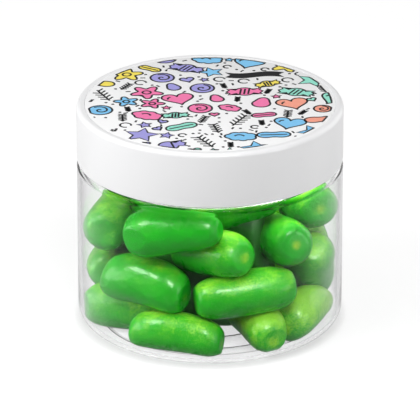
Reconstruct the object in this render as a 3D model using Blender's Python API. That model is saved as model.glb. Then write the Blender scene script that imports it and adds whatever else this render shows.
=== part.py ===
"""Jar of chewy candies: a clear jar, its white screw lid, a printed disc and the candies.

Metres, +Z up. The origin is the middle of the jar's foot, and -Y is the front.
"""
import math

import bmesh
import bpy
import numpy as np
from mathutils import Vector

MM = 0.001
GAP = 0.3 * MM                     # clearance between pieces that touch

# Jar
JAR_RADIUS = 35.5 * MM
JAR_WALL = 1.1 * MM
FOOT_CORNER = 4.0 * MM             # radius of the corner between wall and foot
FOOT_INNER = 29.3 * MM             # inner edge of the ring that the jar stands on
FLOOR_THICKNESS = 1.0 * MM
PUSH_UP = 1.4 * MM                 # how far the middle of the base domes up
BASE_RIBS = (18.2 * MM, 24.5 * MM) # radii of the two moulded rings under the base
RIB_HEIGHT = 0.15 * MM
RIB_HALF = 0.4 * MM
SHOULDER_TOP = 45.5 * MM
SHOULDER_RADIUS = 1.8 * MM
NECK_RADIUS = 33.5 * MM
NECK_WALL = 1.4 * MM
RIM_TOP = 58.9 * MM

SHOULDER_CLEAR = 1.8 * MM          # candies start to draw in this far below the shoulder
SHOULDER_SLOPE = 1.2

# Lid
LID_BOTTOM = 45.9 * MM
TOTAL_HEIGHT = 61.1 * MM
LID_RADIUS = 35.5 * MM
LID_WALL = 1.2 * MM
LID_EDGE = 1.2 * MM                # radius of the lid's top edge
LID_TOP_THICKNESS = 1.8 * MM
SKIRT_EDGE = 0.3 * MM

# Printed disc, flush in a shallow recess of the lid
DISC_RADIUS = 33.0 * MM
DISC_THICKNESS = 0.5 * MM

# Candies
CANDY_LENGTH = 26.2 * MM
CANDY_RADIUS = 6.3 * MM
CANDY_BLUNTNESS = 3.2              # exponent of the side outline: 2 is an ellipse, more is blunter
HEAP_SEED = 7
BACK_LAYERS = (8.0, 20.5, 33.0)    # heights of the layers at the back, millimetres
BACK_ANGLES = (118, 156, 196, 234) # azimuths there, degrees from the front towards +X
MIDDLE_HEIGHTS = (8.0, 20.0, 32.0)
CROWN_HEIGHT = 43.5                # the loose layer on top, millimetres
CROWN_REACH = 12.0
CROWN_ANGLES = (190, 310)
RELAX_STEPS = 260
SETTLE_STEP = 0.04 * MM
HOLD = 0.45                        # how firmly the candies at the front keep their places
PRESSED_SHARE = 0.95               # soft candies settle with this share of their radii apart
FLOOR_SHARE = 0.86                 # and flatten to this share of their radius on the floor
CORE_RADIUS = 24.0 * MM            # the solid middle that the candies are joined to
CORE_LOW = 7.0 * MM
CORE_HIGH = 40.0 * MM
CORE_SIDES = 20
MERGE_DISTANCE = 0.02 * MM
TURN_SEGMENTS = 44
FACET_ALLOWANCE = 0.15 * MM        # how far the jar's flat facets stand in from its circle

# The candies seen at the front: middle x, y, z in millimetres, heading in plan and tilt in
# degrees, length and greatest radius in millimetres.
FRONT_CANDIES = (
    (-8.8, -25.4, 34.7, -17, 7, 26.4, 6.1),
    (-25.6, -1.4, 28.6, -103, 4, 26.0, 6.7),
    (0.1, -20.8, 27.6, -49, 14, 25.6, 6.35),
    (6.2, -12.5, 37.9, 14, 14, 26.0, 6.3),
    (18.4, -12.4, 27.6, -70, 12, 25.5, 6.5),
    (25.8, 0.7, 32.3, -76, 16, 25.6, 6.3),
    (26.8, -3.4, 15.8, -97, 50, 24.6, 6.8),
    (-16.6, -20.2, 17.2, -30, -2, 24.4, 6.35),
    (9.7, -25.6, 17.2, 5, 4, 27.2, 6.1),
    (-9.7, -28.4, 4.9, -18, -2, 25.9, 5.4),
    (12.0, -19.6, 3.9, -64, -3, 25.2, 5.9),
    (27.1, -13.8, 3.7, -118, 0, 22.4, 6.0),
    (-27.1, 3.5, 11.7, -87, 5, 26.0, 6.4),
    (-21.9, -12.5, 9.1, -35, 3, 25.6, 6.3),
)


def finish(name, color, roughness, transmission=0.0):
    """A Principled material with one colour."""
    material = bpy.data.materials.new(name)
    material.use_nodes = True
    shader = material.node_tree.nodes["Principled BSDF"]
    shader.inputs["Base Color"].default_value = (*color, 1.0)
    shader.inputs["Roughness"].default_value = roughness
    shader.inputs["Metallic"].default_value = 0.0
    shader.inputs["Transmission Weight"].default_value = transmission
    return material


def add_object(name, bm, material):
    """Put a bmesh into the scene as one smooth-shaded object."""
    mesh = bpy.data.meshes.new(name)
    bm.to_mesh(mesh)
    bm.free()
    mesh.materials.append(material)
    mesh.shade_smooth()
    mesh.set_sharp_from_angle(angle=math.radians(40))
    item = bpy.data.objects.new(name, mesh)
    bpy.context.collection.objects.link(item)
    return item


def arc(center, radius, start, end, steps):
    """Points of a circle arc in the (radius, height) plane; angles in degrees."""
    angles = [math.radians(start + (end - start) * i / steps) for i in range(steps + 1)]
    return [(center[0] + radius * math.cos(a), center[1] + radius * math.sin(a)) for a in angles]


def turned(name, profile, material, segments=TURN_SEGMENTS):
    """Turn a profile, which starts and ends on the axis or closes on itself, into a solid."""
    bm = bmesh.new()
    verts = [bm.verts.new((r, 0.0, z)) for r, z in profile]
    edges = [bm.edges.new(pair) for pair in zip(verts, verts[1:])]
    if profile[0][0] > 0.0:
        edges.append(bm.edges.new((verts[-1], verts[0])))
    bmesh.ops.spin(bm, geom=verts + edges, cent=(0, 0, 0), axis=(0, 0, 1),
                   angle=math.tau, steps=segments, use_merge=True)
    bmesh.ops.remove_doubles(bm, verts=bm.verts, dist=0.001 * MM)
    bmesh.ops.recalc_face_normals(bm, faces=bm.faces)
    return add_object(name, bm, material)


def dome_height(radius):
    """Height of the base's dome above the foot's own level at a radius."""
    return PUSH_UP * max(0.0, 1.0 - (radius / FOOT_INNER) ** 2)


def base_underside():
    """Underside from the axis to the foot ring: a dome with two small moulded rings."""
    points = [(0.0, PUSH_UP)]
    for rib in BASE_RIBS:
        low = dome_height(rib) - RIB_HEIGHT
        points.append((rib - RIB_HALF, dome_height(rib - RIB_HALF)))
        points.append((rib, low))
        points.append((rib + RIB_HALF, dome_height(rib + RIB_HALF)))
    points.append((FOOT_INNER - RIB_HALF, dome_height(FOOT_INNER - RIB_HALF) + RIB_HEIGHT))
    points.append((FOOT_INNER, 0.0))
    return points


def jar():
    """The clear jar: stepped base, straight wall, small shoulder and plain neck."""
    inside = JAR_RADIUS - JAR_WALL
    inner_corner = FOOT_CORNER - FLOOR_THICKNESS
    corner_x = JAR_RADIUS - FOOT_CORNER
    shoulder_z = SHOULDER_TOP - SHOULDER_RADIUS
    neck_inside = NECK_RADIUS - NECK_WALL
    lip = NECK_WALL / 2
    profile = base_underside()
    profile += arc((corner_x, FOOT_CORNER), FOOT_CORNER, -90, 0, 6)
    profile += arc((JAR_RADIUS - SHOULDER_RADIUS, shoulder_z), SHOULDER_RADIUS, 0, 90, 4)
    profile += [(NECK_RADIUS, SHOULDER_TOP)]
    profile += arc((NECK_RADIUS - lip, RIM_TOP - lip), lip, 0, 180, 4)
    profile += [(neck_inside, SHOULDER_TOP - JAR_WALL)]
    profile += arc((inside - SHOULDER_RADIUS / 2, shoulder_z), SHOULDER_RADIUS / 2, 90, 0, 2)
    profile += arc((inside - inner_corner, FOOT_CORNER), inner_corner, 0, -90, 5)
    for radius in (BASE_RIBS[1], BASE_RIBS[0], 0.0):
        profile.append((radius, FLOOR_THICKNESS + dome_height(radius)))
    return turned("jar", profile, finish("clear_plastic", (0.95, 0.95, 0.97), 0.05, 0.9))


def lid():
    """The white lid: a plain skirt, a rounded top edge and a shallow recess for the disc."""
    inside = LID_RADIUS - LID_WALL
    under = TOTAL_HEIGHT - LID_TOP_THICKNESS
    recess = TOTAL_HEIGHT - DISC_THICKNESS - GAP
    profile = [(0.0, recess), (DISC_RADIUS + GAP, recess), (DISC_RADIUS + GAP, TOTAL_HEIGHT)]
    profile += arc((LID_RADIUS - LID_EDGE, TOTAL_HEIGHT - LID_EDGE), LID_EDGE, 90, 0, 5)
    profile += arc((LID_RADIUS - SKIRT_EDGE, LID_BOTTOM + SKIRT_EDGE), SKIRT_EDGE, 0, -90, 2)
    profile += [(inside, LID_BOTTOM)]
    profile += arc((inside - LID_EDGE, under - LID_EDGE), LID_EDGE, 0, 90, 2)
    profile += [(0.0, under)]
    return turned("lid", profile, finish("white_plastic", (0.93, 0.93, 0.94), 0.25))


def printed_disc():
    """The thin printed disc that lies flush in the lid's recess."""
    low = TOTAL_HEIGHT - DISC_THICKNESS
    edge = 0.15 * MM
    profile = [(0.0, low), (DISC_RADIUS, low)]
    profile += arc((DISC_RADIUS - edge, TOTAL_HEIGHT - edge), edge, 0, 90, 2)
    profile += [(0.0, TOTAL_HEIGHT)]
    return turned("label", profile, finish("printed_disc", (0.95, 0.95, 0.95), 0.3))


def candy_ends(x, y, z, heading, tilt, length, radius):
    """The two end centres of a candy taken as a capsule; angles in degrees."""
    heading, tilt = math.radians(heading), math.radians(tilt)
    axis = np.array((math.cos(tilt) * math.cos(heading), math.cos(tilt) * math.sin(heading),
                     math.sin(tilt)))
    half = length / 2 - radius
    middle = np.array((x, y, z))
    return middle - half * axis, middle + half * axis


def hidden_candies(rng):
    """Rows like FRONT_CANDIES for the candies at the back and in the middle."""
    rows = []
    reach = (JAR_RADIUS - JAR_WALL - CANDY_RADIUS) / MM - 2.0
    for layer, height in enumerate(BACK_LAYERS):
        for angle in BACK_ANGLES:
            azimuth = math.radians(angle + 18 * (layer % 2) + rng.uniform(-5, 5))
            heading = math.degrees(azimuth) + rng.uniform(-25, 25)
            rows.append((reach * math.sin(azimuth), -reach * math.cos(azimuth),
                         height + rng.uniform(-1, 1), heading, rng.uniform(-14, 14)))
    for height in MIDDLE_HEIGHTS:
        rows.append((rng.uniform(-3, 3), rng.uniform(3, 8), height, rng.uniform(0, 180),
                     rng.uniform(-20, 20)))
    for angle in CROWN_ANGLES:
        azimuth = math.radians(angle)
        rows.append((CROWN_REACH * math.sin(azimuth), -CROWN_REACH * math.cos(azimuth),
                     CROWN_HEIGHT, angle + rng.uniform(-40, 40), rng.uniform(-12, 12)))
    sizes = [(CANDY_LENGTH / MM + rng.uniform(-1, 1), CANDY_RADIUS / MM + rng.uniform(-0.25, 0.25))
             for _ in rows]
    return [(*row, *size) for row, size in zip(rows, sizes)]


def nearest_shares(first, second):
    """Where the axes of two sets of capsules are nearest, as shares along each axis."""
    along_a = first[:, 1] - first[:, 0]
    along_b = second[:, 1] - second[:, 0]
    between = first[:, 0] - second[:, 0]
    aa = (along_a * along_a).sum(axis=1)
    bb = (along_b * along_b).sum(axis=1)
    ab = (along_a * along_b).sum(axis=1)
    a_gap = (along_a * between).sum(axis=1)
    b_gap = (along_b * between).sum(axis=1)
    spread = np.maximum(aa * bb - ab * ab, 1e-12)
    share_a = np.clip((ab * b_gap - a_gap * bb) / spread, 0.0, 1.0)
    share_b = np.clip((ab * share_a + b_gap) / bb, 0.0, 1.0)
    share_a = np.clip((ab * share_b - a_gap) / aa, 0.0, 1.0)
    return share_a, share_b


def push_apart(ends, radii, mobility):
    """Move overlapping candies apart, each by its share of the overlap."""
    one, two = np.triu_indices(len(ends), 1)
    share_one, share_two = nearest_shares(ends[one], ends[two])
    near_one = ends[one, 0] + share_one[:, None] * (ends[one, 1] - ends[one, 0])
    near_two = ends[two, 0] + share_two[:, None] * (ends[two, 1] - ends[two, 0])
    between = near_one - near_two
    distance = np.maximum(np.linalg.norm(between, axis=1), 1e-6)
    touching = (radii[one] + radii[two]) * PRESSED_SHARE
    overlap = np.maximum(touching - distance, 0.0)
    push = between / distance[:, None] * overlap[:, None]
    whole = mobility[one] + mobility[two]
    for index, share, sign in ((one, share_one, 0.5), (two, share_two, -0.5)):
        move = push * (sign * mobility[index] / whole)[:, None]
        np.add.at(ends, (index, 0), move * (1.0 - share)[:, None] * 1.4)
        np.add.at(ends, (index, 1), move * share[:, None] * 1.4)


def keep_inside(ends, radii):
    """Bring every end back inside the jar's wall and above its domed floor."""
    reach = (JAR_RADIUS - JAR_WALL - GAP - radii * PRESSED_SHARE)[:, None]
    out = np.hypot(ends[..., 0], ends[..., 1])
    shrink = np.minimum(1.0, reach / np.maximum(out, 1e-6))
    ends[..., 0] *= shrink
    ends[..., 1] *= shrink
    out *= shrink
    dome = PUSH_UP * np.maximum(0.0, 1.0 - (out / FOOT_INNER) ** 2)
    lowest = FLOOR_THICKNESS + GAP + dome + radii[:, None] * FLOOR_SHARE
    ends[..., 2] = np.maximum(ends[..., 2], lowest)


def packed_candies():
    """End centres and radii of all the candies, settled so that none overlaps."""
    rng = np.random.default_rng(HEAP_SEED)
    rows = list(FRONT_CANDIES) + hidden_candies(rng)
    ends = np.array([candy_ends(*row) for row in rows]) * MM
    radii = np.array([row[6] for row in rows]) * MM
    spans = np.linalg.norm(ends[:, 1] - ends[:, 0], axis=1)
    seen = np.arange(len(rows)) < len(FRONT_CANDIES)
    mobility = np.where(seen, 0.08, 1.0)
    home = ends[seen]
    for _ in range(RELAX_STEPS):
        ends[~seen, :, 2] -= SETTLE_STEP
        ends[seen] += HOLD * (home - ends[seen])
        push_apart(ends, radii, mobility)
        keep_inside(ends, radii)
        middle = ends.mean(axis=1, keepdims=True)
        axis = ends[:, 1:] - middle
        axis *= (spans / 2 / np.linalg.norm(axis[:, 0], axis=1))[:, None, None]
        ends = np.concatenate((middle - axis, middle + axis), axis=1)
    return ends, radii


def room(height):
    """Largest radius that a candy may reach at a height, clear of the jar's inside."""
    inside = JAR_RADIUS - JAR_WALL
    corner = FOOT_CORNER - FLOOR_THICKNESS
    rise = min(max(height - FLOOR_THICKNESS - GAP, 0.0), corner)
    largest = inside - corner + math.sqrt(corner ** 2 - (corner - rise) ** 2)
    neck_start = SHOULDER_TOP - SHOULDER_RADIUS - SHOULDER_CLEAR
    neck = NECK_RADIUS - NECK_WALL + SHOULDER_SLOPE * max(0.0, neck_start - height)
    return min(largest, neck) - GAP - FACET_ALLOWANCE


def pressed_in(point):
    """A point of a candy, pressed back where it would reach the jar's floor or wall."""
    out = math.hypot(point.x, point.y)
    height = max(point.z, FLOOR_THICKNESS + GAP + dome_height(out))
    shrink = min(1.0, room(height) / max(out, GAP))
    return Vector((point.x * shrink, point.y * shrink, height))


def candy_mesh(bm, ends, radius, rings=8, sides=10):
    """Add one blunt-ended candy to a bmesh."""
    middle = Vector(ends.mean(axis=0))
    axis = Vector(ends[1] - ends[0])
    half = axis.length / 2 + radius
    turn = axis.to_track_quat("Z", "Y")
    power = 2.0 / CANDY_BLUNTNESS
    loops = []
    for ring in range(1, rings):
        angle = math.pi * ring / rings
        along = math.copysign(abs(math.cos(angle)) ** power, math.cos(angle)) * half
        across = math.sin(angle) ** power * radius
        spots = [Vector((across * math.cos(a), across * math.sin(a), along))
                 for a in (math.tau * side / sides for side in range(sides))]
        loops.append([bm.verts.new(pressed_in(middle + turn @ spot)) for spot in spots])
    for upper, lower in zip(loops, loops[1:]):
        for side in range(sides):
            after = (side + 1) % sides
            bm.faces.new((upper[side], lower[side], lower[after], upper[after]))
    for loop, tip in ((loops[0], half), (loops[-1], -half)):
        point = bm.verts.new(pressed_in(middle + turn @ Vector((0, 0, tip))))
        for side in range(sides):
            corners = (point, loop[side], loop[(side + 1) % sides])
            bm.faces.new(corners if tip > 0 else corners[::-1])


def keep_outer_shell(bm):
    """Remove the walls of any hollow shut in between candies, and keep the outer surface."""
    todo = set(bm.verts)
    shells = []
    while todo:
        front = [todo.pop()]
        shell = set(front)
        while front:
            near = {edge.other_vert(vert) for vert in front for edge in vert.link_edges}
            front = list(near - shell)
            shell |= near
        todo -= shell
        shells.append(shell)
    outer = max(shells, key=len)
    spare = [vert for shell in shells if shell is not outer for vert in shell]
    bmesh.ops.delete(bm, geom=spare, context="VERTS")


def candies():
    """The heap as one solid: the candies joined to a core that fills the middle."""
    material = finish("green_candy", (0.10, 0.48, 0.04), 0.3)
    shapes = bmesh.new()
    for pair, radius in zip(*packed_candies()):
        candy_mesh(shapes, pair, radius)
    pieces = add_object("candy_pieces", shapes, material)
    corner = CORE_RADIUS / 3
    profile = [(0.0, CORE_LOW)] + arc((CORE_RADIUS - corner, CORE_LOW + corner), corner, -90, 0, 3)
    profile += arc((CORE_RADIUS - corner, CORE_HIGH - corner), corner, 0, 90, 3) + [(0.0, CORE_HIGH)]
    core = turned("core", profile, material, CORE_SIDES)
    join = core.modifiers.new("join", "BOOLEAN")
    join.operation = "UNION"
    join.solver = "EXACT"
    join.object = pieces
    join.use_self = True
    bm = bmesh.new()
    bm.from_object(core, bpy.context.evaluated_depsgraph_get())
    bmesh.ops.remove_doubles(bm, verts=bm.verts, dist=MERGE_DISTANCE)
    keep_outer_shell(bm)
    bmesh.ops.triangulate(bm, faces=bm.faces)
    for item in (core, pieces):
        bpy.data.objects.remove(item)
    return add_object("candies", bm, material)


def main():
    """Clear the scene and build the four pieces."""
    for item in list(bpy.data.objects):
        bpy.data.objects.remove(item)
    jar()
    lid()
    printed_disc()
    candies()


main()
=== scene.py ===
"""Looks of a clear jar of green chewy candies with a white screw lid and a printed top.

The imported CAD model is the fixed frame. Every length is in metres, +Z is up and -Y is the front.
"""
import logging
import math
from dataclasses import dataclass, field
from enum import Enum
from typing import (
    Callable, Dict, Iterable, List, Mapping, NamedTuple, Optional, Sequence, Tuple, Union)

import bmesh
import bpy
import numpy as np
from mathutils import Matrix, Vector


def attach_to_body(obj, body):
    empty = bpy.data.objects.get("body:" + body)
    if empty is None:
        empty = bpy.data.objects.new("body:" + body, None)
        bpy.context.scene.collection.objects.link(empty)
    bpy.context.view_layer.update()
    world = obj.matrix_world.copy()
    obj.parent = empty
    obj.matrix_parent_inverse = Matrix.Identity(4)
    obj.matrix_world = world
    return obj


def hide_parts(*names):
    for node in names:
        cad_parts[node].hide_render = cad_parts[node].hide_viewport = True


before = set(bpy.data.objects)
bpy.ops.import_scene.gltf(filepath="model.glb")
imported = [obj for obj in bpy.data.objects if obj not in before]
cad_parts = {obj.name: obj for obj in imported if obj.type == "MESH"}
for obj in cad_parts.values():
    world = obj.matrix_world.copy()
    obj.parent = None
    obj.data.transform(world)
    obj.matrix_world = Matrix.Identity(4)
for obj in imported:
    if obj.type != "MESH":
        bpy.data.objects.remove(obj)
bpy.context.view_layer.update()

Point2 = Tuple[float, float]
Color = Tuple[float, float, float]
Outline = List[Point2]
Socket = bpy.types.NodeSocket
Node = bpy.types.Node
NodeTree = bpy.types.NodeTree
Finish = bpy.types.Material
Piece = bpy.types.Object
Value = Union[float, int, bool, str, Sequence[float], Socket, "Signal", bpy.types.ID]

log = logging.getLogger("jar_of_candies")

MM = 0.001
TURN_STEPS = 192
SHARP_ANGLE = 40.0
BODY = "root"


# ----- Node trees -----

def operator(operation: str, swapped: bool = False) -> Callable[..., "Signal"]:
    """A method of Signal that adds a Math node, with the signal last where swapped."""
    def method(self: "Signal", *others: Value) -> "Signal":
        values = (*others, self) if swapped else (self, *others)
        return self.tree.math(operation, *values)
    return method


class Signal:
    """A node's output. Where it is a number, Python's operators add Math nodes."""

    def __init__(self, tree: "Tree", socket: Socket) -> None:
        """Wrap a socket of a tree."""
        self.tree = tree
        self.socket = socket

    __add__ = __radd__ = operator("ADD")
    __sub__ = operator("SUBTRACT")
    __rsub__ = operator("SUBTRACT", swapped=True)
    __mul__ = __rmul__ = operator("MULTIPLY")
    __truediv__ = operator("DIVIDE")
    __rtruediv__ = operator("DIVIDE", swapped=True)
    __pow__ = operator("POWER")
    at_least = operator("MAXIMUM")
    at_most = operator("MINIMUM")
    magnitude = operator("ABSOLUTE")
    root = operator("SQRT")
    sign = operator("SIGN")

    def toward(self, other: "Signal", share: "Signal") -> "Signal":
        """A mix with another number."""
        return self * (1.0 - share) + other * share

    def ramp(self, start: Value, end: Value) -> "Signal":
        """A smooth step from 0 at start to 1 at end."""
        node = self.tree.add("ShaderNodeMapRange", {0: self, 1: start, 2: end},
                             interpolation_type="SMOOTHSTEP")
        return self.tree.read(node)


class Step(NamedTuple):
    """A geometry node in a chain: its class name after GeometryNode, its values and type."""

    kind: str
    values: Mapping[str, Value] = {}
    data_type: str = ""


class Tree:
    """Short calls that build a shader or geometry node tree."""

    def __init__(self, tree: NodeTree) -> None:
        """Take over an empty tree."""
        self.tree = tree

    def add(self, kind: str, inputs: Optional[Mapping[Union[str, int], Value]] = None,
            **settings: object) -> Node:
        """Add a node.

        Args:
            kind: the node's class name in Blender.
            inputs: values or sockets for its inputs, by name or place.
            **settings: the node's own properties.

        Returns:
            The new node.
        """
        node = self.tree.nodes.new(kind)
        for name, value in settings.items():
            setattr(node, name, value)
        for key, value in (inputs or {}).items():
            self.feed(node.inputs[key], value)
        return node

    def feed(self, socket: Socket, value: Value) -> None:
        """Set an input to a plain value, or link a socket to it. Plain colours are opaque."""
        if isinstance(value, Signal):
            value = value.socket
        if isinstance(value, Socket):
            self.tree.links.new(value, socket)
        else:
            socket.default_value = (*value, 1.0) if socket.type == "RGBA" else value

    def read(self, node: Node, output: Union[str, int] = 0) -> Signal:
        """One of a node's outputs, by name or place."""
        return Signal(self, node.outputs[output])

    def math(self, operation: str, *values: Value) -> Signal:
        """Add a Math node."""
        node = self.add("ShaderNodeMath", dict(enumerate(values)), operation=operation)
        return self.read(node)

    def vector(self, operation: str, *values: Value) -> Socket:
        """Add a Vector Math node."""
        node = self.add("ShaderNodeVectorMath", dict(enumerate(values)), operation=operation)
        return node.outputs["Vector"]

    def scaled(self, vector: Value, factor: Value) -> Socket:
        """A vector times a number."""
        node = self.add("ShaderNodeVectorMath", {0: vector, "Scale": factor}, operation="SCALE")
        return node.outputs["Vector"]

    def split(self, vector: Value) -> Tuple[Signal, Signal, Signal]:
        """The three parts of a vector."""
        node = self.add("ShaderNodeSeparateXYZ", {0: vector})
        return tuple(Signal(self, socket) for socket in node.outputs)

    def joined(self, x: Value, y: Value, z: Value) -> Socket:
        """A vector from three parts."""
        return self.add("ShaderNodeCombineXYZ", {0: x, 1: y, 2: z}).outputs[0]

    def chain(self, shape: Value, *steps: Step) -> Socket:
        """Pass a shape through geometry nodes, one after another."""
        for step in steps:
            settings = {"data_type": step.data_type} if step.data_type else {}
            node = self.add("GeometryNode" + step.kind, {0: shape, **step.values}, **settings)
            shape = node.outputs[0]
        return shape

    def noise(self, where: Value, scale: Value, detail: Value, roughness: Value) -> Signal:
        """A noise pattern from 0 to 1 at a place."""
        inputs = {"Vector": where, "Scale": scale, "Detail": detail, "Roughness": roughness}
        return self.read(self.add("ShaderNodeTexNoise", inputs, noise_dimensions="3D"))

    def blend(self, factor: Value, first: Value, second: Value) -> Socket:
        """A mix of two colours."""
        # A Mix node's colours are its inputs 6 and 7 and its output 2
        node = self.add("ShaderNodeMix", data_type="RGBA", clamp_factor=True)
        for place, value in ((0, factor), (6, first), (7, second)):
            self.feed(node.inputs[place], value)
        return node.outputs[2]


class NodeKind(Enum):
    """The two kinds of node tree that this file builds."""

    SHADER = "ShaderNodeTree"
    GEOMETRY = "GeometryNodeTree"


class Port(Enum):
    """Kinds of socket on a group's outside."""

    NUMBER = "NodeSocketFloat"
    COUNT = "NodeSocketInt"
    VECTOR = "NodeSocketVector"
    COLOR = "NodeSocketColor"
    SHAPE = "NodeSocketGeometry"
    MATERIAL = "NodeSocketMaterial"


def new_group(name: str, kind: NodeKind, inputs: Mapping[str, Port],
              outputs: Mapping[str, Port]) -> Tuple[Tree, Dict[str, Signal], Node]:
    """Start a node group with named inputs and outputs.

    Args:
        name: the group's name.
        kind: shader or geometry.
        inputs: its inputs, by name.
        outputs: its outputs, by name.

    Returns:
        The tree, its inputs by name, and the node that takes its outputs.
    """
    group = bpy.data.node_groups.new(name, kind.value)
    for side, ports in (("INPUT", inputs), ("OUTPUT", outputs)):
        for label, port in ports.items():
            group.interface.new_socket(label, in_out=side, socket_type=port.value)
    tree = Tree(group)
    source = tree.add("NodeGroupInput")
    return tree, {label: tree.read(source, label) for label in inputs}, tree.add("NodeGroupOutput")


def linked(name: str, data: bpy.types.ID) -> Piece:
    """A new object in the scene."""
    item = bpy.data.objects.new(name, data)
    bpy.context.collection.objects.link(item)
    return item


def evaluated_piece(name: str, source: bpy.types.Mesh, group: NodeTree,
                    values: Mapping[str, Value]) -> Piece:
    """Run a geometry node group on a mesh and keep the result as a plain piece.

    Args:
        name: the finished piece's name.
        source: the mesh that the group starts from.
        group: the geometry node group.
        values: its inputs, by name.

    Returns:
        A new object at the origin, with the result as its own mesh.
    """
    carrier = linked(name + "_source", source)
    modifier = carrier.modifiers.new("build", "NODES")
    modifier.node_group = group
    for item in group.interface.items_tree:
        if item.name in values:
            modifier[item.identifier] = values[item.name]
    bpy.context.view_layer.update()
    graph = bpy.context.evaluated_depsgraph_get()
    mesh = bpy.data.meshes.new_from_object(carrier.evaluated_get(graph), depsgraph=graph)
    carrier.modifiers.remove(modifier)
    bpy.data.objects.remove(carrier)
    return linked(name, mesh)


# ----- Effects that several materials share -----

class Grain(Enum):
    """The kinds of relief."""

    PEBBLES = "Pebbled relief"
    RIPPLE = "Moulded ripple"


class Relief(NamedTuple):
    """A relief: its kind, size, share of fine grain, real depth and strength."""

    grain: Grain
    size: float
    fine: float
    depth: float
    strength: float


def rounded_cells(tree: Tree, where: Value, scale: Value) -> Signal:
    """Rounded bumps side by side, as on orange peel."""
    cells = tree.add("ShaderNodeTexVoronoi", {
        "Vector": where, "Scale": scale, "Randomness": 1.0}, feature="SMOOTH_F1")
    return 1.0 - tree.read(cells, "Distance")


def soft_waves(tree: Tree, where: Value, scale: Value) -> Signal:
    """The faint waviness of a moulded surface."""
    return tree.noise(where, scale, 1.0, 0.4)


class Effects:
    """Shader node groups, each built once and used with its own values."""

    def __init__(self) -> None:
        """Build the groups."""
        self.reliefs = {
            Grain.PEBBLES: self._relief(Grain.PEBBLES, rounded_cells, 2.5, 3.0, 0.6),
            Grain.RIPPLE: self._relief(Grain.RIPPLE, soft_waves, 25.0, 2.0, 0.5)}
        self.mottle = self._mottle()

    def _relief(self, grain: Grain, form: Callable[[Tree, Value, Value], Signal],
                fineness: float, detail: float, roughness: float) -> NodeTree:
        """A relief of one size with a finer noise mixed in.

        Args:
            grain: the kind of relief.
            form: gives the coarse relief for a tree, a place and a scale.
            fineness: how many times finer the noise is.
            detail: the noise's detail.
            roughness: the noise's roughness.

        Returns:
            The group.
        """
        tree, given, result = new_group(
            grain.value, NodeKind.SHADER,
            {"Vector": Port.VECTOR, "Size": Port.NUMBER, "Fine Share": Port.NUMBER},
            {"Height": Port.NUMBER})
        scale = 1.0 / given["Size"]
        fine = tree.noise(given["Vector"], scale * fineness, detail, roughness)
        coarse = form(tree, given["Vector"], scale)
        tree.feed(result.inputs["Height"], coarse.toward(fine, given["Fine Share"]))
        return tree.tree

    def _mottle(self) -> NodeTree:
        """Soft patches of two colours."""
        tree, given, result = new_group(
            "Soft mottling", NodeKind.SHADER,
            {"Vector": Port.VECTOR, "Patch Size": Port.NUMBER, "Contrast": Port.NUMBER,
             "Lean": Port.NUMBER, "First": Port.COLOR, "Second": Port.COLOR},
            {"Color": Port.COLOR, "Mask": Port.NUMBER})
        patches = tree.noise(given["Vector"], 1.0 / given["Patch Size"], 4.0, 0.55)
        spread = (patches - 0.5) * given["Contrast"]
        mask = (spread + given["Lean"]).at_least(0.0).at_most(1.0)
        tree.feed(result.inputs["Mask"], mask)
        tree.feed(result.inputs["Color"], tree.blend(mask, given["First"], given["Second"]))
        return tree.tree


class Surface:
    """A material under construction, with one Principled shader."""

    def __init__(self, name: str, values: Mapping[str, Value]) -> None:
        """Start a material.

        Args:
            name: the material's name.
            values: plain values for the shader's inputs, by name.
        """
        self.material = bpy.data.materials.new(name)
        self.material.use_nodes = True
        self.tree = Tree(self.material.node_tree)
        nodes = self.material.node_tree.nodes
        self.shader = nodes["Principled BSDF"]
        self.output = nodes["Material Output"]
        self.place = self.tree.add("ShaderNodeTexCoord").outputs["Object"]
        for key, value in values.items():
            self.set(key, value)

    def set(self, key: str, value: Value) -> None:
        """Set or link one input of the shader."""
        self.tree.feed(self.shader.inputs[key], value)

    def group(self, group: NodeTree, values: Mapping[str, Value]) -> Node:
        """Place a shared effect, which reads the piece's own coordinates."""
        node = self.tree.add("ShaderNodeGroup", node_tree=group)
        for key, value in {"Vector": self.place, **values}.items():
            self.tree.feed(node.inputs[key], value)
        return node

    def relief(self, effects: Effects, relief: Relief) -> None:
        """Let a relief's height bend the normal."""
        height = self.group(effects.reliefs[relief.grain], {
            "Size": relief.size, "Fine Share": relief.fine})
        bump = self.tree.add("ShaderNodeBump", {
            "Height": height.outputs["Height"], "Distance": relief.depth,
            "Strength": relief.strength})
        self.set("Normal", bump.outputs[0])

    def attribute(self, name: str) -> Signal:
        """Read a named attribute of the piece."""
        return self.tree.read(self.tree.add("ShaderNodeAttribute", attribute_name=name), "Fac")


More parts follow.
